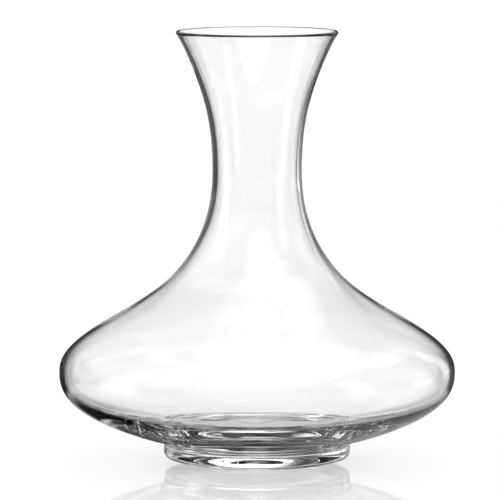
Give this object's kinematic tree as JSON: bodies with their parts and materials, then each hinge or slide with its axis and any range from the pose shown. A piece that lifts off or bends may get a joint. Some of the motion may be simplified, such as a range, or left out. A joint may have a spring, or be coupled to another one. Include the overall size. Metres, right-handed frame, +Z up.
{
  "type": "decanter",
  "caption": "Clear glass wine decanter with a low wide body, a narrow neck that flares to an open mouth and a short solid foot.",
  "frame": {"origin": "centre of the foot, on the surface that the decanter stands on", "axes": "+Z up along the axis of the decanter, which is the same all round; +X and +Y are any two directions square to it"},
  "size_m": [0.2042, 0.2042, 0.22],
  "materials": {
    "glass": "clear, fire-polished and smooth"
  },
  "bodies": {
    "root": {"decanter": "glass"}
  },
  "joints": []
}
